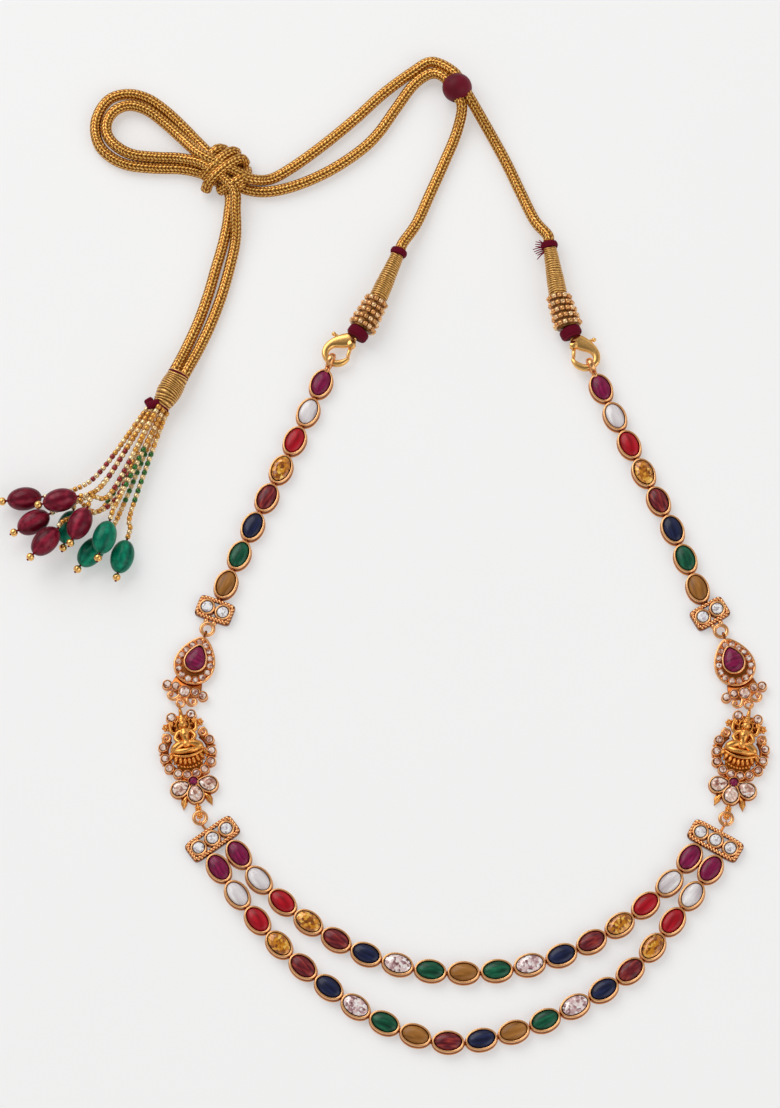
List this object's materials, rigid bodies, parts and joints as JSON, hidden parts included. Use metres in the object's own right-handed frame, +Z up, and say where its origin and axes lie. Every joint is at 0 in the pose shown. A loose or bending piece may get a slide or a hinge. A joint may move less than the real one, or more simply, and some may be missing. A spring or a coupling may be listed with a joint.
{
  "type": "temple necklace",
  "caption": "Adjustable temple necklace: oval gem links in two front strands, figure plaques, pear drops, lobster clasps, gold cord with slide bead and tassel",
  "frame": {"origin": "middle of the metal and tassel's box seen from above, at the surface the necklace lies on", "axes": "+Z up from the surface, +Y from the front strands to the cord, +X to the wearer's left as the front faces up"},
  "size_m": [0.2022, 0.275, 0.013],
  "materials": {
    "copper_gold": "matte antique gold plate with a copper tone over cast brass",
    "figure_gold": "matte yellow gold plate over cast brass",
    "clasp_gold": "smooth pale gold plate",
    "zari_cord": "gold metal thread braided in a round cord",
    "maroon_thread": "maroon silk thread, tightly wound",
    "seed_beads": "silver-lined gold seed beads on thread",
    "ruby": "opaque purple-red cabochon",
    "pearl": "milky pearl cabochon",
    "coral": "opaque coral red cabochon",
    "citrine": "cut amber glass, foiled behind",
    "garnet": "opaque brown-red cabochon",
    "sapphire": "opaque dark blue cabochon",
    "emerald": "opaque dark green cabochon",
    "cats_eye": "brown cabochon with a pale band of light",
    "crystal": "clear cut glass, foiled behind",
    "red_glass": "streaked dark red glass",
    "green_glass": "satin green glass",
    "maroon_bead": "satin maroon bead"
  },
  "bodies": {
    "necklace": {"cord_left": "zari_cord", "cord_right": "zari_cord", "cord_knot": "zari_cord", "slide_bead": "maroon_bead", "left_top_tie": "maroon_thread", "right_top_tie": "maroon_thread", "left_sleeve": "zari_cord", "right_sleeve": "zari_cord", "left_bead_collar": "seed_beads", "right_bead_collar": "seed_beads", "left_bottom_tie": "maroon_thread", "right_bottom_tie": "maroon_thread", "left_clasp": "clasp_gold", "right_clasp": "clasp_gold", "left_upper_chain": "copper_gold", "right_upper_chain": "copper_gold", "inner_strand": "copper_gold", "outer_strand": "copper_gold", "ruby_stones": "ruby", "pearl_stones": "pearl", "coral_stones": "coral", "citrine_stones": "citrine", "garnet_stones": "garnet", "sapphire_stones": "sapphire", "emerald_stones": "emerald", "cats_eye_stones": "cats_eye", "crystal_stones": "crystal", "left_two_stone_bar": "copper_gold", "right_two_stone_bar": "copper_gold", "left_three_stone_bar": "copper_gold", "right_three_stone_bar": "copper_gold", "bar_crystals": "crystal", "left_drop": "copper_gold", "right_drop": "copper_gold", "drop_rubies": "ruby", "left_drop_crystals": "crystal", "right_drop_crystals": "crystal", "left_plaque": "figure_gold", "right_plaque": "figure_gold", "plaque_rubies": "ruby", "left_plaque_crystals": "crystal", "right_plaque_crystals": "crystal", "tassel_sleeve": "zari_cord", "tassel_tie": "maroon_thread", "tassel_strings": "seed_beads", "tassel_red_beads": "red_glass", "tassel_green_beads": "green_glass", "tassel_end_beads": "seed_beads"},
    "left_lever": {"left_clasp_lever": "clasp_gold"},
    "right_lever": {"right_clasp_lever": "clasp_gold"}
  },
  "joints": [
    {"name": "left_lever_hinge", "type": "hinge", "parent": "necklace", "child": "left_lever", "pos_m": [-0.00873, 0.08204, 0.0022], "axis": [0, 0, -1], "range_deg": [0, 25], "stiffness_Nm_per_rad": 0.001},
    {"name": "right_lever_hinge", "type": "hinge", "parent": "necklace", "child": "right_lever", "pos_m": [0.05032, 0.08186, 0.0022], "axis": [0, 0, 1], "range_deg": [0, 25], "stiffness_Nm_per_rad": 0.001}
  ]
}
